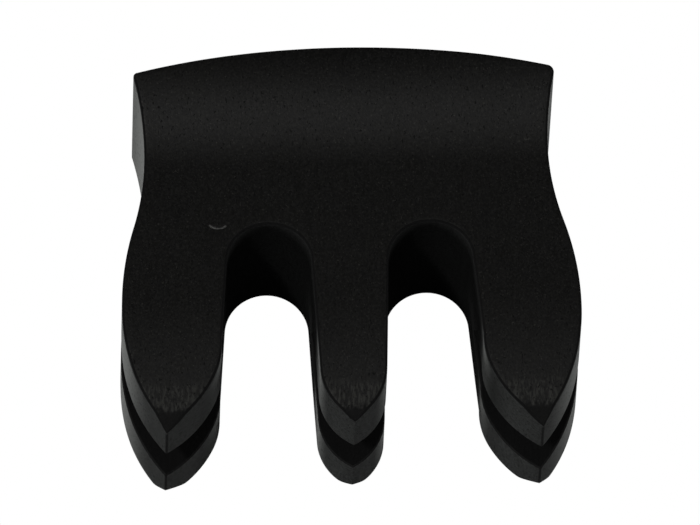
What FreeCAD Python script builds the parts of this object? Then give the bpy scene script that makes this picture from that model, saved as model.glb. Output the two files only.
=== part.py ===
import FreeCAD, Part
import os
import Sketcher
from math import atan2, cos, hypot, pi, radians, sin

# Three-prong violin mute, carved from one block of ebony.
#
# The piece is drawn lying on its back: X runs across the prongs, Y from the prong tips to the
# head, and Z through the thickness.  Inside the body y = 0 is the line of the outer tips and
# z = 0 the middle of the thickness; the body's Placement puts the origin at the bottom centre.
# The strings run through the two arches along Z, and the bridge goes into the slot along Y.

V = FreeCAD.Vector

# Where the line of the steep tip bevel reaches the plane that lies run_out past the tips.
BEVEL_START = (
    "sizes.tip_half_depth - sizes.run_out / sizes.tip_bevel_y"
    " * (sizes.tip_bevel_half_depth - sizes.tip_half_depth)"
)

# Where a sketch starts looking, in millimetres and degrees, before its own ties settle the shape.
WAIST_HEADING = -104
OGIVE_HEADING = 150
CROWN_HEADING = 94
WALL_LEAN = 0.4
HIP_HEADING = 8
PRONG_END_DROP = 0.27
HIP_RUN = 2.6
HIP_DROP = 0.12
NECK_RUN_IN = 0.7
NECK_RISE_IN = 0.03
NECK_RUN_OUT = 2.4
NECK_RISE_OUT = 0.4
HEAD_RUN = 2.6
HEAD_DROP = 0.44
HEAD_END_DROP = 1.13

# Driving dimensions in millimetres: alias, value, meaning.
DIMENSIONS = [
    ("overall_length", 28.5, "outer tips to the middle of the head"),
    ("blank_depth", 14.0, "thickness of the blank before its faces are profiled"),
    ("head_corner_x", 14.6, "centre line to a head corner"),
    ("head_corner_y", 26.62, "height of the head corners"),
    ("head_corner_radius", 0.45, "rounding of the head corners"),
    ("waist_radius", 21.9, "hollow sides under the head"),
    ("waist_end_x", 14.8, "where a hollow side runs into the hip"),
    ("waist_end_y", 15.15, "where a hollow side runs into the hip"),
    ("hip_x", 15.76, "centre line to the widest point"),
    ("hip_y", 8.0, "height of the widest point"),
    ("flank_x", 15.3, "where the hip runs into the straighter flank"),
    ("flank_y", 4.7, "where the hip runs into the straighter flank"),
    ("outer_tip_x", 12.9, "centre line to an outer tip"),
    ("ogive_x", 9.5, "inner flank of an outer prong, part way up"),
    ("ogive_y", 3.7, "inner flank of an outer prong, part way up"),
    ("ogive_radius", 7.5, "inner flank of an outer prong, near the tip"),
    ("ogive_top_y", 6.4, "where the inner flank meets the arch wall"),
    ("arch_half_pitch", 5.55, "centre line to the middle of an arch, half the string spacing"),
    ("arch_y", 12.3, "centre of the round arch tops"),
    ("arch_radius", 2.9, "round arch tops"),
    ("middle_flank_x", 2.3, "half width of the middle prong above its tip"),
    ("middle_flank_y", 4.0, "where the middle prong starts to close in"),
    ("middle_tip_y", 0.4, "the middle tip stands back from the outer ones"),
    ("tip_half_depth", 4.7, "half thickness at the outer tips"),
    ("tip_bevel_y", 1.0, "upper edge of the steep bevel at a tip"),
    ("tip_bevel_half_depth", 5.95, "half thickness at the upper edge of that bevel"),
    ("prong_end_y", 3.1, "where the sanded end of a prong begins"),
    ("crest_half_depth", 6.5, "half thickness at the hips and at the head"),
    ("hip_crest_y", 7.0, "thickest line across the prongs"),
    ("hip_crest_radius", 28.0, "side profile over the thickest line of the prongs"),
    ("neck_half_depth", 5.4, "half thickness under the head"),
    ("neck_y", 20.6, "thinnest line under the head"),
    ("neck_radius", 7.5, "side profile of the hollow under the head"),
    ("head_radius", 8.0, "side profile of the head roll"),
    ("head_crest_y", 26.4, "thickest line of the head roll"),
    ("slot_mouth", 3.5, "slot width where its lines reach run_out past the tips"),
    ("slot_end", 3.0, "slot width at its closed end"),
    ("slot_depth", 10.5, "outer tips to the closed end of the slot"),
    ("slot_offset", 0.5, "the slot lies this far behind the middle"),
    ("edge_break", 0.2, "bevel that eases the edges of the front and back faces"),
    ("run_out", 2.0, "how far each cut runs past the piece"),
]


def make_sheet(doc):
    """The spreadsheet that drives the model: one row for each dimension."""
    sheet = doc.addObject("Spreadsheet::Sheet", "sizes")
    for row, (alias, value, meaning) in enumerate(DIMENSIONS, start=1):
        sheet.set(f"A{row}", alias)
        sheet.set(f"B{row}", str(value))
        sheet.set(f"C{row}", meaning)
        sheet.setAlias(f"B{row}", alias)
    doc.recompute()
    return sheet


def origin_plane(body, role):
    """One of the body's own origin planes."""
    return next(plane for plane in body.Origin.OriginFeatures if plane.Role == role)


def new_sketch(body, name, role):
    """An empty sketch on one of the body's origin planes."""
    sketch = body.newObject("Sketcher::SketchObject", name)
    sketch.AttachmentSupport = [(origin_plane(body, role), "")]
    sketch.MapMode = "FlatFace"
    return sketch


def arc_between(start, heading, end):
    """The arc that leaves start at a heading in radians and reaches end, and its last heading."""
    step = end - start
    turn = (atan2(step.y, step.x) - heading + pi) % (2 * pi) - pi
    reach = hypot(step.x, step.y) / 2 / cos(turn / 2)
    middle = start + V(cos(heading + turn / 2), sin(heading + turn / 2)) * reach
    return Part.Arc(start, middle, end), heading + 2 * turn


class Chain:
    """Edges drawn end to end in a sketch. Each is tangent to the last one unless smooth is off."""

    def __init__(self, sketch, start):
        self.sketch = sketch
        self.point = start
        self.heading = 0.0
        self.first = None
        self.last = None

    def add(self, geometry, end, smooth):
        """Adds an edge, joins it to the one before, and returns the reference of its far end."""
        edge = self.sketch.addGeometry(geometry)
        near = min((1, 2), key=lambda side: (self.sketch.getPoint(edge, side) - self.point).Length)
        if self.last:
            kind = "Tangent" if smooth else "Coincident"
            self.sketch.addConstraint(Sketcher.Constraint(kind, *self.last, edge, near))
        self.first = self.first or (edge, near)
        self.last = (edge, 3 - near)
        self.point = end
        return self.last

    def line(self, end, smooth=True):
        self.heading = atan2(end.y - self.point.y, end.x - self.point.x)
        return self.add(Part.LineSegment(self.point, end), end, smooth)

    def arc(self, end, smooth=True, heading=None):
        start_heading = self.heading if heading is None else radians(heading)
        geometry, self.heading = arc_between(self.point, start_heading, end)
        return self.add(geometry, end, smooth)

    def close(self):
        self.sketch.addConstraint(Sketcher.Constraint("Coincident", *self.last, *self.first))


def bind(sketch, kind, references, value, expression):
    """Adds a dimension to a sketch and ties it to the sheet."""
    number = sketch.addConstraint(Sketcher.Constraint(kind, *references, value))
    sketch.setExpression(f"Constraints[{number}]", expression)


def place(sketch, reference, across=None, along=None):
    """Ties the first and the second coordinate of a point to expressions."""
    point = sketch.getPoint(*reference)
    if across:
        bind(sketch, "DistanceX", (-1, 1, *reference), point.x, across)
    if along:
        bind(sketch, "DistanceY", (-1, 1, *reference), point.y, along)


def draw_outline(body, sheet):
    """The right half of the front view: head, hollow side, hip, outer prong, arch, middle prong."""
    sketch = new_sketch(body, "outline", "XY_Plane")
    chain = Chain(sketch, V(0, sheet.overall_length))

    top = chain.arc(V(sheet.head_corner_x, sheet.head_corner_y), heading=0)
    place(sketch, (top[0], 3 - top[1]), "0 mm", "sizes.overall_length")
    place(sketch, top, "sizes.head_corner_x", "sizes.head_corner_y")
    sketch.addConstraint(Sketcher.Constraint("PointOnObject", top[0], 3, -2))

    waist = chain.arc(V(sheet.waist_end_x, sheet.waist_end_y), smooth=False, heading=WAIST_HEADING)
    place(sketch, waist, "sizes.waist_end_x", "sizes.waist_end_y")
    bind(sketch, "Radius", waist[:1], sheet.waist_radius, "sizes.waist_radius")
    hip = chain.arc(V(sheet.hip_x, sheet.hip_y))
    place(sketch, hip, "sizes.hip_x", "sizes.hip_y")
    flank = chain.arc(V(sheet.flank_x, sheet.flank_y))
    place(sketch, flank, "sizes.flank_x", "sizes.flank_y")
    tip = chain.arc(V(sheet.outer_tip_x, 0))
    place(sketch, tip, "sizes.outer_tip_x", "0 mm")

    ogive = chain.arc(V(sheet.ogive_x, sheet.ogive_y), smooth=False, heading=OGIVE_HEADING)
    place(sketch, ogive, "sizes.ogive_x", "sizes.ogive_y")
    bind(sketch, "Radius", ogive[:1], sheet.ogive_radius, "sizes.ogive_radius")
    wall_x = sheet.arch_half_pitch + sheet.arch_radius
    inner = chain.arc(V(wall_x + WALL_LEAN, sheet.ogive_top_y))
    place(sketch, inner, along="sizes.ogive_top_y")
    chain.line(V(wall_x, sheet.arch_y))

    arch = chain.arc(V(wall_x - 2 * sheet.arch_radius, sheet.arch_y), heading=CROWN_HEADING)
    place(sketch, (arch[0], 3), "sizes.arch_half_pitch", "sizes.arch_y")
    bind(sketch, "Radius", arch[:1], sheet.arch_radius, "sizes.arch_radius")
    middle = chain.line(V(sheet.middle_flank_x, sheet.middle_flank_y))
    place(sketch, middle, "sizes.middle_flank_x", "sizes.middle_flank_y")
    middle_tip = chain.arc(V(0, sheet.middle_tip_y))
    place(sketch, middle_tip, "0 mm", "sizes.middle_tip_y")
    chain.line(V(0, sheet.overall_length), smooth=False)
    chain.close()
    return sketch


def carve_outline(body, sheet):
    """The blank, sawn to the front view: one half and its mirror image."""
    half = body.newObject("PartDesign::Pad", "half_blank")
    half.Profile = draw_outline(body, sheet)
    half.SideType = "Symmetric"
    half.setExpression("Length", "sizes.blank_depth")
    return mirror(body, half, "YZ_Plane", "whole_blank")


def mirror(body, feature, role, name):
    """Repeats a feature on the other side of one of the body's origin planes."""
    copy = body.newObject("PartDesign::Mirrored", name)
    copy.Originals = [feature]
    copy.MirrorPlane = (origin_plane(body, role), [""])
    body.Tip = copy
    return copy


def cut_through(body, sketch, name):
    """Cuts a sketch drawn on the YZ plane through the whole width."""
    cut = body.newObject("PartDesign::Pocket", name)
    cut.Profile = sketch
    cut.SideType = "Symmetric"
    cut.setExpression("Length", "2 * sizes.hip_x + 2 * sizes.run_out")
    body.Tip = cut
    return cut


def draw_face_waste(body, sheet):
    """What comes off the front: the waste above the side profile, from the tips to the head."""
    sketch = new_sketch(body, "face_waste", "YZ_Plane")
    crest = sheet.crest_half_depth
    top = sheet.blank_depth / 2 + sheet.run_out
    head_end = sheet.overall_length + sheet.run_out
    bevel_slope = (sheet.tip_bevel_half_depth - sheet.tip_half_depth) / sheet.tip_bevel_y
    start = V(-sheet.run_out, sheet.tip_half_depth - bevel_slope * sheet.run_out)
    chain = Chain(sketch, start)

    bevel = chain.line(V(sheet.tip_bevel_y, sheet.tip_bevel_half_depth))
    place(sketch, (bevel[0], 3 - bevel[1]), "-sizes.run_out", BEVEL_START)
    place(sketch, bevel, "sizes.tip_bevel_y", "sizes.tip_bevel_half_depth")
    sanded = chain.line(V(sheet.prong_end_y, crest - PRONG_END_DROP), smooth=False)
    place(sketch, sanded, "sizes.prong_end_y")

    hip_end = V(sheet.hip_crest_y + HIP_RUN, crest - HIP_DROP)
    hip = chain.arc(hip_end, smooth=False, heading=HIP_HEADING)
    bind(sketch, "Radius", hip[:1], sheet.hip_crest_radius, "sizes.hip_crest_radius")
    hip_centre = "sizes.crest_half_depth - sizes.hip_crest_radius"
    place(sketch, (hip[0], 3), "sizes.hip_crest_y", hip_centre)
    chain.line(V(sheet.neck_y - NECK_RUN_IN, sheet.neck_half_depth + NECK_RISE_IN))
    neck = chain.arc(V(sheet.neck_y + NECK_RUN_OUT, sheet.neck_half_depth + NECK_RISE_OUT))
    bind(sketch, "Radius", neck[:1], sheet.neck_radius, "sizes.neck_radius")
    place(sketch, (neck[0], 3), "sizes.neck_y", "sizes.neck_half_depth + sizes.neck_radius")
    chain.line(V(sheet.head_crest_y - HEAD_RUN, crest - HEAD_DROP))
    head = chain.arc(V(head_end, crest - HEAD_END_DROP))
    bind(sketch, "Radius", head[:1], sheet.head_radius, "sizes.head_radius")
    place(sketch, (head[0], 3), "sizes.head_crest_y", "sizes.crest_half_depth - sizes.head_radius")
    place(sketch, head, "sizes.overall_length + sizes.run_out")

    above = "sizes.blank_depth / 2 + sizes.run_out"
    head_side = chain.line(V(head_end, top), smooth=False)
    place(sketch, head_side, "sizes.overall_length + sizes.run_out", above)
    lid = chain.line(V(-sheet.run_out, top), smooth=False)
    place(sketch, lid, "-sizes.run_out", above)
    chain.line(start, smooth=False)
    chain.close()
    return sketch


def draw_slot(body, sheet):
    """The slot that takes the bridge: wider between the tips than at its closed end."""
    sketch = new_sketch(body, "slot_profile", "YZ_Plane")
    mouth = sheet.slot_mouth / 2
    end = sheet.slot_end / 2
    middle = -sheet.slot_offset
    chain = Chain(sketch, V(-sheet.run_out, middle - mouth))
    lower = chain.line(V(sheet.slot_depth, middle - end), smooth=False)
    place(sketch, lower, "sizes.slot_depth", "-sizes.slot_offset - sizes.slot_end / 2")
    place(sketch, (lower[0], 3 - lower[1]), "-sizes.run_out", "-sizes.slot_offset - sizes.slot_mouth / 2")
    upper = chain.line(V(sheet.slot_depth, middle + end), smooth=False)
    place(sketch, upper, "sizes.slot_depth", "-sizes.slot_offset + sizes.slot_end / 2")
    back = chain.line(V(-sheet.run_out, middle + mouth), smooth=False)
    place(sketch, back, "-sizes.run_out", "-sizes.slot_offset + sizes.slot_mouth / 2")
    chain.line(V(-sheet.run_out, middle - mouth), smooth=False)
    chain.close()
    return sketch


def dress_edges(doc, body, name, kind, size, chosen):
    """A fillet or chamfer on those edges of the newest feature that pass a test."""
    doc.recompute()
    base = body.Tip
    names = [f"Edge{n}" for n, edge in enumerate(base.Shape.Edges, start=1) if chosen(edge)]
    dressing = body.newObject(f"PartDesign::{kind}", name)
    dressing.Base = (base, names)
    dressing.setExpression({"Fillet": "Radius", "Chamfer": "Size"}[kind], size)
    body.Tip = dressing


def middle_of(edge):
    """The point halfway along an edge."""
    return edge.valueAt((edge.FirstParameter + edge.LastParameter) / 2)


def make_mute(doc, sheet):
    """The mute: outline, profiled faces, slot, eased edges."""
    body = doc.addObject("PartDesign::Body", "mute_body")
    body.Label = "mute_body"
    carve_outline(body, sheet)

    def head_corner(edge):
        point = middle_of(edge)
        upright = abs(edge.tangentAt(edge.FirstParameter).z) > 0.99
        at_corner = abs(abs(point.x) - sheet.head_corner_x) < 0.01
        return upright and at_corner and abs(point.y - sheet.head_corner_y) < 0.01

    dress_edges(doc, body, "head_corners", "Fillet", "sizes.head_corner_radius", head_corner)
    front = cut_through(body, draw_face_waste(body, sheet), "front_face")
    mirror(body, front, "XY_Plane", "back_face")
    cut_through(body, draw_slot(body, sheet), "slot")

    def face_edge(edge):
        return abs(middle_of(edge).z) >= sheet.tip_half_depth

    dress_edges(doc, body, "eased_edges", "Chamfer", "sizes.edge_break", face_edge)
    body.setExpression("Placement.Base.y", "-sizes.overall_length / 2")
    body.setExpression("Placement.Base.z", "sizes.crest_half_depth")
    return body


def check(doc, parts):
    """Stops if anything in the document failed or a piece has no valid solid."""
    for item in doc.Objects:
        if {"Invalid", "Error"} & set(item.State):
            raise RuntimeError(f"{item.Name} failed: {item.State}")
    for part in parts:
        if part.Shape.isNull() or not part.Shape.isValid():
            raise RuntimeError(f"{part.Label} has no valid shape")


def main():
    doc = FreeCAD.newDocument("violin_mute")
    sheet = make_sheet(doc)
    parts = [make_mute(doc, sheet)]
    doc.recompute()
    check(doc, parts)
    os.makedirs("parts", exist_ok=True)
    for part in parts:
        part.Shape.exportStep(f"parts/{part.Label}.step")
        box = part.Shape.optimalBoundingBox(True, False)
        print(part.Label, "volume", round(part.Shape.Volume, 2), "box", box)


main()
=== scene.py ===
from cmath import exp, log, phase
from math import acos, atan2, cos, hypot, pi, radians, sin, sqrt, tan
from types import SimpleNamespace

import bmesh
import bpy
from mathutils import Matrix, Vector, noise
from mathutils.geometry import delaunay_2d_cdt


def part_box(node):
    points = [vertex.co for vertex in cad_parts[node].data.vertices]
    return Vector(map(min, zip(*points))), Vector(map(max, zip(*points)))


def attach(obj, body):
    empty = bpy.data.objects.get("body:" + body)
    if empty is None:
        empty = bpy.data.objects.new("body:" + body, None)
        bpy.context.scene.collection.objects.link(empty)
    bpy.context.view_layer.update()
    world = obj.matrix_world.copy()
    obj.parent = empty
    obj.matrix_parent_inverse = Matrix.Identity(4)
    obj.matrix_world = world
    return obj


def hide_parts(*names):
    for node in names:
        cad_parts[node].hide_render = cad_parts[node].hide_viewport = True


# An ebony violin mute that lies on its back.  Plan points are complex numbers: real is across the
# prongs, imaginary runs from the prong tips to the head.  Lengths are millimetres until a mesh is
# made.  Heights are measured from the middle of the thickness.

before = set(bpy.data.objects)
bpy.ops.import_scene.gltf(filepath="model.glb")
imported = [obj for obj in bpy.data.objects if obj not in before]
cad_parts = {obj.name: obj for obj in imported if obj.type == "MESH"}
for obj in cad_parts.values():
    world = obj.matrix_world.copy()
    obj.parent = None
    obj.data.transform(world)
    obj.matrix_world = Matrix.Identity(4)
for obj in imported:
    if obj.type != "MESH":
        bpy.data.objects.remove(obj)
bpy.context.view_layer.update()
cad_low, cad_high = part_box("mute_body")
MM = 0.001
TIPS_Y = cad_low[1]
MIDDLE_Z = (cad_low[2] + cad_high[2]) / 2
LENGTH = (cad_high[1] - cad_low[1]) / MM
CREST = (cad_high[2] - cad_low[2]) / MM / 2

# Front view, right half; the left half is its mirror image.
HEAD_CORNER = 14.6 + 26.62j
WAIST_HEADING = -104.5
WAIST_END = 14.8 + 15.15j
HIP = 15.76 + 8.0j
FLANK = 15.3 + 4.7j
OUTER_TIP = 12.9 + 0j
OGIVE_HEADING = 150
OGIVE = 9.5 + 3.7j
OGIVE_TOP = 8.97 + 6.4j
ARCH = 5.55 + 12.3j
ARCH_RADIUS = 2.9
MIDDLE_FLANK = 2.3 + 4.0j
MIDDLE_TIP = 0.4j
CORNER_ROUND = {1: 0.55, -1: 0.3}

# Side profile: half thickness against the distance from the tips.
TIP_HALF = 4.7
BEVEL_Y = 1.0
BEVEL_HALF = 5.95
BEVEL_WEAR = 0.09
SANDED_Y = 3.1
HIP_CREST_Y = 7.0
HIP_RADIUS = 28.0
WAIST_Y = 20.6
WAIST_HALF = 5.4
WAIST_RADIUS = 7.5
HEAD_CREST_Y = 26.4
HEAD_RADIUS = 8.0

# The slot for the bridge.
SLOT_DEPTH = 10.5
SLOT_MOUTH = 3.5
SLOT_END = 3.0
SLOT_OFFSET = 0.5

# Mesh: spacing of the points, and rows of vertices over the eased edges, the walls and the slot.
PITCH = 0.22
FACE_PITCH = {1: 0.24, -1: 0.3}
SLOT_PITCH = 0.45
SLOT_END_PITCH = 0.4
CORNER_PITCH = 0.07
CORNER_GAP = 0.03
FILL_GAP = 0.6
MITER_LIMIT = 0.45
TOUCHING = 1e-6
SHARP_ANGLE = 32
EASE_STEPS = 4
WALL_ROWS = 12
SLOT_ROWS = 8

# Eased edges: their width, the share of it that is left at a tip, and how far from the tip it is
# whole again.  The slot's rim has a smaller one, which fades out before the closed end.
EASE = 0.18
EASE_AT_TIP = 0.35
EASE_GROWTH = 1.2
# Shade painted on the walls at the tips, as a share of the darkest.
TIP_EDGE_SHADE = 0.6
SLOT_EASE = 0.1
SLOT_EASE_FADE = 0.8

# A small dent above the left arch, with a crescent along its lower side that is sunk a little and
# painted pale as a highlight.
NICK = -9.0 + 15.2j
NICK_RADIUS = 0.56
NICK_FLATNESS = 0.55
NICK_CRESCENT_WIDTH = 0.28
NICK_REACH = 1.0
NICK_PITCH = 0.07
NICK_GAP = 0.05
NICK_DEPTH = 0.07

# Files and abrasive paper: what they took off the faces, and the waves that they left.  Each wave
# has its frequency across and along the mute, per millimetre, and its height.
FACE_WEAR = 0.04
BROAD_WAVE = (0.16, 0.11, 0.035)
FINE_WAVE = (0.9, 0.22, 0.006)

# Camera: degrees, metres, and the point that it looks at in millimetres from the mute's middle.
CAMERA_AZIMUTH = -4.15
CAMERA_ELEVATION = 64.4
CAMERA_ROLL = 2.67
CAMERA_DISTANCE = 1.2
AIM_ACROSS = 0.17
AIM_UPWARD = 0.61
PIXELS_PER_METRE = 14490
IMAGE_WIDTH = 700
FLOOR_HALF = 3.0


# ---------------------------------------------------------------- outline


def heading(degrees):
    """A unit vector in plan."""
    return exp(1j * radians(degrees))


def spread(start, end, pitch=PITCH):
    """Evenly spaced points after start, up to end."""
    steps = max(2, round(abs(end - start) / pitch))
    return [start + (end - start) * k / steps for k in range(1, steps + 1)]


def arc(start, direction, end, pitch=PITCH):
    """Points after start on the arc from it to end, and the arc's direction at end."""
    chord = end - start
    turn = phase(chord / direction)
    steps = max(2, round(abs(chord) * turn / sin(turn) / pitch))
    points = []
    for k in range(1, steps + 1):
        part = turn * k / steps
        points.append(start + direction * abs(chord) * sin(part) / sin(turn) * exp(1j * part))
    return points, direction * exp(2j * turn)


def touch(centre, radius, point, side):
    """Where the line from point touches a circle, on its left for side 1 or its right for -1."""
    away = point - centre
    return centre + radius * away / abs(away) * exp(1j * side * acos(radius / abs(away)))


def soften(before, corner, after, radius):
    """Replaces the corner between two runs of points by a small arc."""
    into = (corner - before[-2]) / abs(corner - before[-2])
    away = (after[1] - corner) / abs(after[1] - corner)
    reach = radius * abs(sin(phase(away / into) / 2) / cos(phase(away / into) / 2))
    bend, _ = arc(corner - into * reach, into, corner + away * reach, CORNER_PITCH)
    before = [p for p in before if abs(p - corner) > reach + CORNER_GAP]
    after = [p for p in after if abs(p - corner) > reach + CORNER_GAP]
    return before + [corner - into * reach] + bend + after


def arch_walls():
    """Down from the inner flank of the outer prong, round the arch and on to the middle prong."""
    outer = touch(ARCH, ARCH_RADIUS, OGIVE_TOP, 1)
    inner = touch(ARCH, ARCH_RADIUS, MIDDLE_FLANK, -1)
    start, end = phase(outer - ARCH), phase(inner - ARCH) % (2 * pi)
    steps = round(ARCH_RADIUS * (end - start) / PITCH)
    points = spread(OGIVE_TOP, outer)
    for k in range(1, steps + 1):
        points.append(ARCH + ARCH_RADIUS * exp(1j * (start + (end - start) * k / steps)))
    return points + spread(inner, MIDDLE_FLANK), (MIDDLE_FLANK - inner) / abs(MIDDLE_FLANK - inner)


def half_outline(side):
    """From the top of the head down the side, round the arch and up to the middle tip."""
    crown, _ = arc(1j * LENGTH, heading(0), HEAD_CORNER)
    hollow, way = arc(HEAD_CORNER, heading(WAIST_HEADING), WAIST_END)
    points = soften(crown, HEAD_CORNER, hollow, CORNER_ROUND[side])
    here = WAIST_END
    for target in (HIP, FLANK, OUTER_TIP):
        piece, way = arc(here, way, target)
        points += piece
        here = target
    way = heading(OGIVE_HEADING)
    for target in (OGIVE, OGIVE_TOP):
        piece, way = arc(here, way, target)
        points += piece
        here = target
    walls, way = arch_walls()
    points += walls
    middle, _ = arc(MIDDLE_FLANK, way, MIDDLE_TIP)
    return points + middle


def split_at(points, height):
    """Adds a point wherever a closed outline crosses a height."""
    result = []
    for a, b in zip(points, points[1:] + points[:1]):
        result.append(a)
        if (a.imag - height) * (b.imag - height) < 0:
            result.append(a + (b - a) * (height - a.imag) / (b.imag - a.imag))
    return result


def whole_outline():
    """The closed front view, clockwise, with points where the slot ends."""
    right = half_outline(1)
    left = [complex(-p.real, p.imag) for p in half_outline(-1)]
    return split_at([1j * LENGTH] + right + left[-2::-1], SLOT_DEPTH)


def inward(points, index):
    """The miter vector of a closed clockwise outline at a point: one unit in from both neighbours."""
    here = points[index]
    before = here - points[index - 1]
    after = points[(index + 1) % len(points)] - here
    a, b = before / abs(before) * -1j, after / abs(after) * -1j
    across = (a + b) / abs(a + b)
    return across / max(MITER_LIMIT, (across * a.conjugate()).real)


# ---------------------------------------------------------------- side profile


def taper(crest_y, radius):
    """Slope in radians of the straight run between a rounded crest and the hollow of the waist."""
    both = radius + WAIST_RADIUS
    rise = both - CREST + WAIST_HALF
    span = abs(WAIST_Y - crest_y)
    return atan2(span, rise) - acos(both / hypot(span, rise))


BODY_TAPER = taper(HIP_CREST_Y, HIP_RADIUS)
HEAD_TAPER = taper(HEAD_CREST_Y, HEAD_RADIUS)


def crest_to_waist(y, crest_y, radius, slope):
    """Half thickness between a crest and the waist: convex arc, straight taper, hollow arc."""
    from_crest = abs(y - crest_y)
    from_waist = abs(y - WAIST_Y)
    if from_crest < radius * sin(slope):
        return CREST - radius + sqrt(radius**2 - from_crest**2)
    if from_waist < WAIST_RADIUS * sin(slope):
        return WAIST_HALF + WAIST_RADIUS - sqrt(WAIST_RADIUS**2 - from_waist**2)
    return CREST - radius + radius * cos(slope) - (from_crest - radius * sin(slope)) * tan(slope)


def roll(y, crest_y, radius):
    """Half thickness on the outer side of a crest."""
    return CREST - radius + sqrt(radius**2 - (y - crest_y) ** 2)


def half_depth(y):
    """Half thickness of the mute at a distance from the tips."""
    if y < SANDED_Y:
        steep = TIP_HALF + (BEVEL_HALF - TIP_HALF) * y / BEVEL_Y
        part = (y - BEVEL_Y) / (SANDED_Y - BEVEL_Y)
        gentle = BEVEL_HALF + (roll(SANDED_Y, HIP_CREST_Y, HIP_RADIUS) - BEVEL_HALF) * part
        worn = exp(-steep / BEVEL_WEAR) + exp(-gentle / BEVEL_WEAR)
        return (-BEVEL_WEAR * log(worn)).real
    if y < HIP_CREST_Y:
        return roll(y, HIP_CREST_Y, HIP_RADIUS)
    if y < WAIST_Y:
        return crest_to_waist(y, HIP_CREST_Y, HIP_RADIUS, BODY_TAPER)
    if y < HEAD_CREST_Y:
        return crest_to_waist(y, HEAD_CREST_Y, HEAD_RADIUS, HEAD_TAPER)
    return roll(y, HEAD_CREST_Y, HEAD_RADIUS)


def slot_wall(y, face):
    """Height of the slot's wall next to the front (1) or the back (-1)."""
    part = min(1.0, max(0.0, y / SLOT_DEPTH))
    return -SLOT_OFFSET + face * (SLOT_MOUTH + (SLOT_END - SLOT_MOUTH) * part) / 2


# ---------------------------------------------------------------- mesh


class Skin:
    """Collects vertices and faces in millimetres."""

    def __init__(self):
        self.points = []
        self.edge = []
        self.dent_glint = []
        self.faces = []

    def point(self, plan, height, edge=0.0):
        """A new vertex; edge says how far it lies on the bend of an eased edge, where the material
        paints shade.
        """
        self.points.append((plan.real, plan.imag, height))
        self.edge.append(edge)
        self.dent_glint.append(nick_mark(plan) if height > 0 else 0.0)
        return len(self.points) - 1

    def face(self, *corners):
        """Adds a face, leaving out corners that are the same vertex."""
        kept = [c for k, c in enumerate(corners) if c != corners[k - 1]]
        if len(set(kept)) > 2:
            self.faces.append(kept)

    def strip(self, upper, lower, closed=True):
        """Faces between two rows of vertices."""
        pairs = list(zip(upper, lower))
        following = pairs[1:] + pairs[:1] if closed else pairs[1:]
        for (a, b), (c, d) in zip(pairs, following):
            self.face(a, b, d, c)


def inside_points(border, spots, pitch):
    """A triangular grid of points inside a border, left out on the round spots."""
    across = [p.real for p in border]
    along = [p.imag for p in border]
    found = []
    row_gap = pitch * sqrt(3) / 2
    row = 0
    y = min(along) + row_gap / 2
    while y < max(along):
        cuts = sorted(
            a.real + (b.real - a.real) * (y - a.imag) / (b.imag - a.imag)
            for a, b in zip(border, border[1:] + border[:1])
            if (a.imag - y) * (b.imag - y) < 0
        )
        x = min(across) + (row % 2) * pitch / 2
        while x < max(across):
            here = complex(x, y)
            within = sum(cut < x for cut in cuts) % 2
            if within and all(abs(here - spot) > reach for spot, reach in spots):
                found.append(here)
            x += pitch
        y += row_gap
        row += 1
    return found


def clear_of(points, border, gap):
    """Drops the points that lie closer than gap to any border point."""
    cells = {}
    for p in border:
        cells.setdefault((int(p.real // gap), int(p.imag // gap)), []).append(p)
    kept = []
    for p in points:
        i, j = int(p.real // gap), int(p.imag // gap)
        near = [q for a in (i - 1, i, i + 1) for b in (j - 1, j, j + 1) for q in cells.get((a, b), ())]
        if all(abs(p - q) > gap for q in near):
            kept.append(p)
    return kept


def dense_patch(centre, reach, pitch):
    """A fine grid in a disc."""
    steps = int(reach / pitch)
    grid = [complex(i, j) * pitch for i in range(-steps, steps + 1) for j in range(-steps, steps + 1)]
    return [centre + g for g in grid if abs(g) <= reach]


def fill(skin, ring, height, pitch, spots=()):
    """Fills a ring of vertices with triangles whose inner points lie at height(plan)."""
    border = [complex(*skin.points[v][:2]) for v in ring]
    inner = clear_of(inside_points(border, spots, pitch), border, pitch * FILL_GAP)
    for centre, reach in spots:
        inner += dense_patch(centre, reach - NICK_GAP, NICK_PITCH)
    numbers = list(ring) + [skin.point(p, height(p)) for p in inner]
    count = len(border)
    edges = [(k, (k + 1) % count) for k in range(count)]
    plan = [Vector((p.real, p.imag)) for p in border + inner]
    _, _, faces, origin, _, _ = delaunay_2d_cdt(plan, edges, [], 1, TOUCHING)
    for face in faces:
        skin.face(*[numbers[origin[v][0]] for v in face])


def nick_mark(plan):
    """How far a point lies in the crescent along a small dent's lower rim, 1 in its middle; it sinks
    the dent and is painted pale as a highlight.
    """
    away = plan - NICK
    across = complex(away.real / NICK_RADIUS, away.imag / (NICK_FLATNESS * NICK_RADIUS))
    if abs(across) > 2:
        return 0.0
    ring = max(0.0, 1 - abs(abs(across) - 1) / NICK_CRESCENT_WIDTH)
    lower_side = min(1.0, max(0.0, 0.55 - across.imag))
    glint_strength = 0.5 + 0.9 * noise.noise(Vector((plan.real * 6, plan.imag * 6, 2.0)))
    return min(1.0, ring * lower_side * (0.4 + max(0.0, glint_strength)))


def hand_wave(plan, seed):
    """The slight unevenness that files and abrasive paper leave, in millimetres."""
    height = 0.0
    for (across, along, rise), layer in ((BROAD_WAVE, seed), (FINE_WAVE, seed + 7.0)):
        height += rise * noise.noise(Vector((plan.real * across, plan.imag * along, layer)))
    return height


def face_point(plan, face):
    """Height of the front (1) or back (-1) face at a plan point."""
    height = half_depth(plan.imag) + hand_wave(plan, 3.0 * face) - FACE_WEAR
    if face == 1 and abs(plan - NICK) < 1.2:
        height -= NICK_DEPTH * nick_mark(plan)
    return face * height


def ease_width(plan):
    """Width of the eased edge, which narrows towards the three tips."""
    to_tip = min(abs(complex(abs(plan.real), plan.imag) - tip) for tip in (OUTER_TIP, MIDDLE_TIP))
    return EASE * min(1.0, EASE_AT_TIP + (1 - EASE_AT_TIP) * to_tip / EASE_GROWTH)


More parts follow.
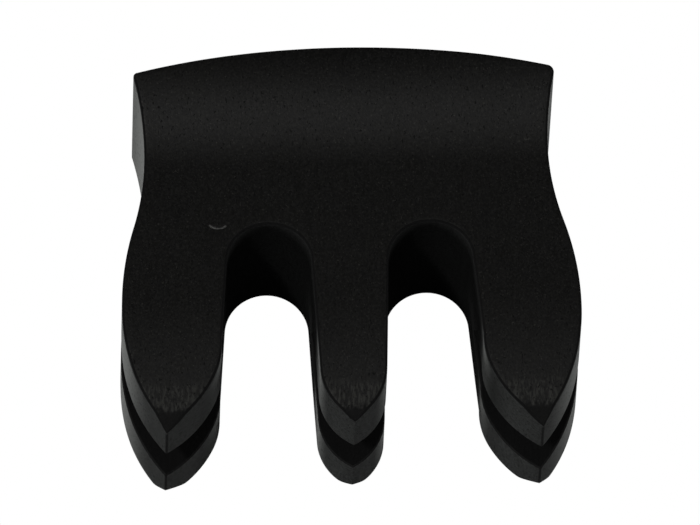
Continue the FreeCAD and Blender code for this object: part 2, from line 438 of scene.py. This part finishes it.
def eased_rings(skin, outline, miters, face):
    """Rings of vertices from the wall over the eased edge to the face; the first is on the wall."""
    rings = []
    for step in range(EASE_STEPS + 1):
        angle = step / EASE_STEPS * pi / 2
        ring = []
        for here, miter in zip(outline, miters):
            width = ease_width(here)
            plan = here + miter * width * (1 - cos(angle))
            height = face_point(plan, face) - face * width * (1 - sin(angle))
            # edge peaks halfway round the bend, where the material paints shade.
            ring.append(skin.point(plan, height, sin(2 * angle)))
        rings.append(ring)
    return rings


def slot_ease(y):
    """Width of the tiny bevel on the slot's rim, which fades out at the closed end."""
    part = min(1.0, max(0.0, (SLOT_DEPTH - y) / SLOT_EASE_FADE))
    return SLOT_EASE * part


def wall_columns(skin, outline, top_ring, face):
    """Rows of vertices from the ring below an eased edge to the slot's rim."""
    rows = [top_ring]
    for row in range(1, WALL_ROWS + 1):
        level = []
        for here, top in zip(outline, top_ring):
            rim = slot_wall(here.imag, face) + face * slot_ease(here.imag)
            start = skin.points[top][2]
            at_tip = here.imag < (1 if here.real == 0 else 0.02)
            height = start + (rim - start) * row / WALL_ROWS
            level.append(skin.point(here, height, TIP_EDGE_SHADE * at_tip))
        rows.append(level)
    return rows


def prong_runs(outline):
    """Index ranges of the outline below the slot's end: right, middle and left prong."""
    below = [p.imag <= SLOT_DEPTH + TOUCHING for p in outline]
    runs = []
    current = []
    for index, is_below in enumerate(below):
        if is_below:
            current.append(index)
        elif current:
            runs.append(current)
            current = []
    return runs


def slot_floor(skin, outline, miters, run, rim, chord, face):
    """One wall of the slot inside a prong, with its rim bevel."""
    inset = [rim[run[0]]]
    for index in run[1:-1]:
        here = outline[index]
        plan = here + miters[index] * slot_ease(here.imag)
        inset.append(skin.point(plan, slot_wall(plan.imag, face)))
    inset.append(rim[run[-1]])
    skin.strip([rim[index] for index in run], inset, closed=False)
    fill(skin, inset + chord, lambda p: slot_wall(p.imag, face), SLOT_PITCH)


def slot_in_prong(skin, outline, miters, run, front_rim, back_rim, between):
    """The slot's two walls and its closed end inside one prong."""
    first, last = outline[run[0]], outline[run[-1]]
    steps = max(2, round(abs(last - first) / SLOT_END_PITCH))
    columns = [[row[run[-1]] for row in between]]
    for k in range(1, steps):
        plan = last + (first - last) * k / steps
        heights = [skin.points[row[run[0]]][2] for row in between]
        columns.append([skin.point(plan, height) for height in heights])
    columns.append([row[run[0]] for row in between])
    for left, right in zip(columns, columns[1:]):
        skin.strip(left, right, closed=False)
    for face, rim, end in ((1, front_rim, 0), (-1, back_rim, -1)):
        chord = [column[end] for column in columns[1:-1]]
        slot_floor(skin, outline, miters, run, rim, chord, face)


def rim_to_rim(skin, outline, rims):
    """Rows of vertices from the front rim of the slot to the back one, where the mute is solid."""
    rows = [rims[1]]
    for row in range(1, SLOT_ROWS):
        level = []
        for front, back, here in zip(rims[1], rims[-1], outline):
            if here.imag < SLOT_DEPTH - TOUCHING:
                level.append(None)
                continue
            high, low = skin.points[front][2], skin.points[back][2]
            level.append(skin.point(here, high + (low - high) * row / SLOT_ROWS))
        rows.append(level)
    return rows + [rims[-1]]


def closes_slot(outline, index, following):
    """Whether both points lie on the slot's end, so that the slot is open between them."""
    return max(outline[index].imag, outline[following].imag) < SLOT_DEPTH + TOUCHING


def solid_walls(skin, outline, between):
    """The part of the walls that the slot doesn't reach."""
    solid = [p.imag >= SLOT_DEPTH - TOUCHING for p in outline]
    for upper, lower in zip(between, between[1:]):
        for index in range(len(outline)):
            following = (index + 1) % len(outline)
            if solid[index] and solid[following] and not closes_slot(outline, index, following):
                skin.face(upper[index], lower[index], lower[following], upper[following])


def mute_skin():
    """All the surfaces of the mute."""
    skin = Skin()
    outline = whole_outline()
    miters = [inward(outline, index) for index in range(len(outline))]
    rims = {}
    for face in (1, -1):
        rings = eased_rings(skin, outline, miters, face)
        for upper, lower in zip(rings, rings[1:]):
            skin.strip(upper, lower)
        spots = [(NICK, NICK_REACH)] if face == 1 else []
        fill(skin, rings[-1], lambda p, face=face: face_point(p, face), FACE_PITCH[face], spots)
        rows = wall_columns(skin, outline, rings[0], face)
        for upper, lower in zip(rows, rows[1:]):
            skin.strip(upper, lower)
        rims[face] = rows[-1]
    between = rim_to_rim(skin, outline, rims)
    solid_walls(skin, outline, between)
    for run in prong_runs(outline):
        slot_in_prong(skin, outline, miters, run, rims[1], rims[-1], between)
    return skin


def make_mute():
    """The mute as one closed mesh in the row frame."""
    skin = mute_skin()
    mesh = bpy.data.meshes.new("mute")
    mesh.from_pydata([to_row(point) for point in skin.points], [], skin.faces)
    mesh.attributes.new("edge", "FLOAT", "POINT").data.foreach_set("value", skin.edge)
    mesh.attributes.new("dent_glint", "FLOAT", "POINT").data.foreach_set("value", skin.dent_glint)
    work = bmesh.new()
    work.from_mesh(mesh)
    bmesh.ops.recalc_face_normals(work, faces=work.faces)
    work.to_mesh(mesh)
    work.free()
    mesh.shade_smooth()
    mesh.set_sharp_from_angle(angle=radians(SHARP_ANGLE))
    mute = bpy.data.objects.new("mute", mesh)
    bpy.context.scene.collection.objects.link(mute)
    return mute


def to_row(point):
    """From the drawing's millimetres to the row frame's metres."""
    return Vector((point[0] * MM, point[1] * MM + TIPS_Y, point[2] * MM + MIDDLE_Z))


# ---------------------------------------------------------------- materials


# Colours in linear light.
DARK_WOOD = (0.0014, 0.0014, 0.0014, 1)
BROWN_WOOD = (0.0030, 0.0027, 0.0018, 1)
GRAIN_LINES = (0.0046, 0.0044, 0.0040, 1)
FINE_GRIT = (0.0125, 0.0122, 0.0112, 1)
SANDED_WOOD = (0.036, 0.036, 0.032, 1)
SAWN_WOOD = (0.036, 0.039, 0.0375, 1)
# Pale colour painted on the outer walls at grazing angles as a sheen.
GRAZING_SHEEN_PALE = (0.30, 0.31, 0.30, 1)
PALE_SPECKS = (0.030, 0.029, 0.026, 1)
# Near black for the pores and for painted shade.
PORE_AND_SHADE_BLACK = (0.0006, 0.0006, 0.0006, 1)
# Pale highlight painted on the dent's lower rim.
NICK_GLINT_PALE = (0.10, 0.10, 0.095, 1)
PAPER_DARK = (0.27, 0.27, 0.27, 1)
PAPER_LIGHT = (0.31, 0.31, 0.31, 1)
WHITE = (1, 1, 1, 1)


class Graph:
    """A short way to write the node tree of a new material or world."""

    def __init__(self, owner):
        owner.use_nodes = True
        self.tree = owner.node_tree
        self.tree.nodes.clear()

    def node(self, kind, **settings):
        """A new node with its settings."""
        node = self.tree.nodes.new("ShaderNode" + kind)
        for name, value in settings.items():
            setattr(node, name, value)
        return node

    def put(self, socket, value):
        """Links or sets an input."""
        if isinstance(value, bpy.types.NodeSocket):
            self.tree.links.new(value, socket)
        else:
            socket.default_value = value

    def math(self, operation, *values):
        node = self.node("Math", operation=operation)
        for socket, value in zip(node.inputs, values):
            self.put(socket, value)
        return node.outputs[0]

    def times(self, first, *others):
        """The product of all the values."""
        for other in others:
            first = self.math("MULTIPLY", first, other)
        return first

    def highest(self, first, *others):
        """The largest of the values."""
        for other in others:
            first = self.math("MAXIMUM", first, other)
        return first

    def ramp(self, value, low, high, to_low=0.0, to_high=1.0):
        """A smooth step from to_low at low to to_high at high."""
        node = self.node("MapRange", interpolation_type="SMOOTHSTEP")
        for socket, number in zip(node.inputs, (value, low, high, to_low, to_high)):
            self.put(socket, number)
        return node.outputs[0]

    def mix(self, factor, first, second):
        """One colour over another."""
        node = self.node("Mix", data_type="RGBA")
        self.put(node.inputs[0], factor)
        self.put(node.inputs[6], first)
        self.put(node.inputs[7], second)
        return node.outputs[2]

    def axes(self, vector):
        """The X, Y and Z of a vector."""
        node = self.node("SeparateXYZ")
        self.put(node.inputs[0], vector)
        return tuple(node.outputs)

    def attribute(self, name):
        """A number stored on the mesh's points."""
        return self.node("Attribute", attribute_name=name).outputs["Fac"]

    def noise(self, place, across, along, detail=3.0, roughness=0.55):
        """Noise with so many cells per millimetre across and along the grain."""
        mapping = self.node("Mapping")
        self.put(mapping.inputs["Vector"], place)
        mapping.inputs["Scale"].default_value = (across / MM, along / MM, across / MM)
        node = self.node("TexNoise")
        self.put(node.inputs["Vector"], mapping.outputs[0])
        node.inputs["Scale"].default_value = 1.0
        node.inputs["Detail"].default_value = detail
        node.inputs["Roughness"].default_value = roughness
        return node.outputs["Fac"]


def wood_noises(g, place):
    """The wood's patterns; its grain runs from the prongs to the head."""
    return SimpleNamespace(
        grain=g.noise(place, 7, 0.35),
        pores=g.noise(place, 7.5, 3.5, detail=1.0),
        chains=g.noise(place, 6, 0.9),
        specks=g.noise(place, 7.5, 6, detail=1.0),
        blotches=g.noise(place, 0.5, 0.25, detail=2.0),
        streaks=g.noise(place, 6, 1.4, detail=4.0),
        grit=g.noise(place, 6.5, 5, roughness=0.7),
    )


def wood_regions(g, place, streaks):
    """Where the wood is sanded, sawn or an outer wall, where shade is painted, and where a dent's
    highlight is painted, each from 0 to 1.
    """
    x, y, z = g.axes(place)
    facing = g.math("ABSOLUTE", g.axes(g.node("TexCoord").outputs["Normal"])[2])
    from_tips = g.math("SUBTRACT", y, TIPS_Y)
    ragged = g.math("ADD", from_tips, g.times(g.math("SUBTRACT", streaks, 0.5), 1.2 * MM))
    from_middle = g.math("ABSOLUTE", g.math("SUBTRACT", z, MIDDLE_Z))
    outside = g.ramp(from_middle, 3.2 * MM, 4.0 * MM)

    ends = g.times(g.ramp(ragged, 3.5 * MM, 2.6 * MM), g.ramp(ragged, 0.6 * MM, 1.6 * MM))
    sanded = g.times(ends, g.times(g.ramp(facing, 0.8, 0.93), outside))
    sawn = g.ramp(facing, 0.35, 0.1)
    along_arches = g.times(g.ramp(from_tips, 5 * MM, 8 * MM), g.ramp(from_tips, 18 * MM, 17 * MM))
    by_arches = g.times(along_arches, g.ramp(g.math("ABSOLUTE", x), 10 * MM, 9 * MM))
    # Painted shade: the arch interiors, the slot and the steep tip bevels are painted near black.
    arch_shade = g.times(sawn, g.times(by_arches, 0.66))
    slot_shade = g.times(g.ramp(facing, 0.45, 0.8), g.math("SUBTRACT", 1.0, outside))
    bevel_shade = g.times(g.ramp(ragged, 1.5 * MM, 0.9 * MM), outside, g.ramp(facing, 0.3, 0.5), 0.85)
    # Painted shade along the bend of the eased edges and on the walls at the tips.
    edge_shade = g.ramp(g.attribute("edge"), 0.1, 0.5)
    return SimpleNamespace(
        sanded=sanded,
        sawn=sawn,
        outer_wall=g.times(sawn, g.math("SUBTRACT", 1.0, by_arches)),
        painted_shade=g.highest(bevel_shade, slot_shade, arch_shade, edge_shade),
        glint_strength=g.ramp(g.attribute("dent_glint"), 0.2, 0.6),
    )


def wood_colour(g, wood, region, pores_and_shade):
    """The base colour, one layer over another."""
    colour = g.mix(wood.blotches, DARK_WOOD, BROWN_WOOD)
    colour = g.mix(g.ramp(wood.grain, 0.35, 0.7), colour, GRAIN_LINES)
    colour = g.mix(g.ramp(wood.grit, 0.42, 0.66), colour, FINE_GRIT)
    scratched = g.times(region.sanded, g.ramp(wood.streaks, 0.45, 0.62), 0.8)
    colour = g.mix(scratched, colour, SANDED_WOOD)
    rough_sawn = g.times(region.sawn, g.ramp(wood.grit, 0.38, 0.62, 0.15, 1.0))
    colour = g.mix(rough_sawn, colour, SAWN_WOOD)
    # Painted sheen: the outer walls are painted pale where they are seen at a grazing angle, so this
    # one layer follows the camera.
    grazing = g.node("LayerWeight")
    grazing.inputs["Blend"].default_value = 0.5
    painted_sheen = g.times(region.outer_wall, g.ramp(grazing.outputs["Facing"], 0.76, 0.98))
    colour = g.mix(painted_sheen, colour, GRAZING_SHEEN_PALE)
    colour = g.mix(g.ramp(wood.specks, 0.66, 0.74), colour, PALE_SPECKS)
    # Pores go near black, and so does the painted shade.
    colour = g.mix(pores_and_shade, colour, PORE_AND_SHADE_BLACK)
    # Painted highlight on the dent's lower rim.
    return g.mix(region.glint_strength, colour, NICK_GLINT_PALE)


def wood_relief(g, wood, region, pore):
    """Raised grain and grit, sunken pores, and coarser streaks on sanded and sawn wood."""
    raised = g.math("ADD", g.times(wood.grain, 0.25), g.times(wood.grit, 1.4))
    porous = g.math("SUBTRACT", raised, g.times(pore, 0.9))
    coarse = g.times(wood.streaks, g.math("ADD", region.sanded, region.sawn), 1.2)
    bump = g.node("Bump")
    bump.inputs["Strength"].default_value = 0.5
    bump.inputs["Distance"].default_value = 0.03 * MM
    g.put(bump.inputs["Height"], g.math("ADD", porous, coarse))
    return bump.outputs[0]


def ebony_material():
    """Near-black wood: grain, pores, pale specks, sanded prong ends and sawn walls, with painted shade
    in the slot, in the arches, on the tip bevels and along the eased edges, a painted sheen on the
    outer walls and a painted highlight on a dent.
    """
    material = bpy.data.materials.new("ebony")
    g = Graph(material)
    place = g.node("TexCoord").outputs["Object"]
    wood = wood_noises(g, place)
    region = wood_regions(g, place, wood.streaks)
    pore = g.ramp(wood.pores, 0.36, 0.28)
    # Pores and pore chains, together with the painted shade.
    pores_and_shade = g.highest(g.times(pore, 0.85), g.ramp(wood.chains, 0.29, 0.24), region.painted_shade)

    shader = g.node("BsdfPrincipled")
    g.put(shader.inputs["Base Color"], wood_colour(g, wood, region, pores_and_shade))
    rough = g.ramp(wood.grain, 0.2, 0.8, 0.50, 0.60)
    rough = g.math("SUBTRACT", rough, g.times(region.sawn, 0.06))
    g.put(shader.inputs["Roughness"], g.math("ADD", rough, g.times(pores_and_shade, 0.4)))
    shader.inputs["IOR"].default_value = 1.42
    shader.inputs["Specular IOR Level"].default_value = 0.4
    g.put(shader.inputs["Normal"], wood_relief(g, wood, region, pore))
    g.put(g.node("OutputMaterial").inputs["Surface"], shader.outputs[0])
    return material


def floor_material():
    """Matt pale paper for the light that falls on it, and plain white for the camera's own rays."""
    material = bpy.data.materials.new("paper")
    g = Graph(material)
    fibre = g.noise(g.node("TexCoord").outputs["Object"], 0.9, 0.9)
    paper = g.node("BsdfDiffuse")
    g.put(paper.inputs["Color"], g.mix(fibre, PAPER_DARK, PAPER_LIGHT))
    glow = g.node("Emission")
    glow.inputs["Color"].default_value = WHITE
    glow.inputs["Strength"].default_value = 1.0
    blend = g.node("MixShader")
    g.put(blend.inputs[0], g.node("LightPath").outputs["Is Camera Ray"])
    g.put(blend.inputs[1], paper.outputs[0])
    g.put(blend.inputs[2], glow.outputs[0])
    g.put(g.node("OutputMaterial").inputs["Surface"], blend.outputs[0])
    return material


# ---------------------------------------------------------------- stage, light, camera


def make_floor():
    """The sheet that the mute lies on."""
    mesh = bpy.data.meshes.new("floor")
    signs = [(-1, -1), (1, -1), (1, 1), (-1, 1)]
    corners = [(x * FLOOR_HALF, y * FLOOR_HALF, cad_low[2]) for x, y in signs]
    mesh.from_pydata(corners, [], [(0, 1, 2, 3)])
    mesh.materials.append(floor_material())
    floor = bpy.data.objects.new("floor", mesh)
    bpy.context.scene.collection.objects.link(floor)


def direction(azimuth, elevation):
    """Unit vector: azimuth in degrees from -Y towards +X, elevation above the floor."""
    a, e = radians(azimuth), radians(elevation)
    return Vector((sin(a) * cos(e), -cos(a) * cos(e), sin(e)))


def soft_light(name, azimuth, elevation, distance, size, power):
    """A square softbox that faces the mute."""
    data = bpy.data.lights.new(name, "AREA")
    data.shape = "SQUARE"
    data.size = size
    data.energy = power
    light = bpy.data.objects.new(name, data)
    way = direction(azimuth, elevation)
    light.location = Vector((0, 0, MIDDLE_Z)) + way * distance
    light.rotation_euler = way.to_track_quat("Z", "Y").to_euler()
    bpy.context.scene.collection.objects.link(light)


def make_world():
    """A dim room with a paler horizon, which the camera itself sees as white."""
    world = bpy.data.worlds.new("room")
    bpy.context.scene.world = world
    g = Graph(world)
    upward = g.axes(g.node("TexCoord").outputs["Generated"])[2]
    seen = g.node("LightPath").outputs["Is Camera Ray"]
    dim = g.ramp(upward, 0.0, 0.5, 0.06, 0.025)
    back = g.node("Background")
    back.inputs["Color"].default_value = WHITE
    level = g.math("ADD", seen, g.times(dim, g.math("SUBTRACT", 1.0, seen)))
    g.put(back.inputs["Strength"], level)
    g.put(g.node("OutputWorld").inputs["Surface"], back.outputs[0])


def make_camera():
    """Long lens from in front of the prongs, high above the floor, slightly from the left."""
    data = bpy.data.cameras.new("camera")
    data.sensor_width = 36
    data.lens = PIXELS_PER_METRE * CAMERA_DISTANCE * data.sensor_width / IMAGE_WIDTH
    data.clip_start = 0.05
    data.clip_end = 20
    camera = bpy.data.objects.new("camera", data)
    way = direction(CAMERA_AZIMUTH, CAMERA_ELEVATION)
    right = Vector((cos(radians(CAMERA_AZIMUTH)), sin(radians(CAMERA_AZIMUTH)), 0))
    up = way.cross(right)
    tilt = radians(CAMERA_ROLL)
    across = right * cos(tilt) + up * sin(tilt)
    upward = up * cos(tilt) - right * sin(tilt)
    aim = Vector((0, 0, MIDDLE_Z)) + across * AIM_ACROSS * MM + upward * AIM_UPWARD * MM
    turn = Matrix((across, upward, way)).transposed().to_4x4()
    camera.matrix_world = Matrix.Translation(aim + way * CAMERA_DISTANCE) @ turn
    bpy.context.scene.collection.objects.link(camera)
    bpy.context.scene.camera = camera


mute = make_mute()
mute.data.materials.append(ebony_material())
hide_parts("mute_body")
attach(mute, "root")
make_floor()
make_world()
soft_light("key", -54, 60, 0.9, 0.08, 1.9)
soft_light("top", 180, 88, 1.0, 0.38, 0.55)
soft_light("left", -72, 10, 0.8, 0.3, 2.5)
soft_light("right", 75, 10, 0.8, 0.3, 2.0)
make_camera()
bpy.context.scene.view_settings.view_transform = "Standard"
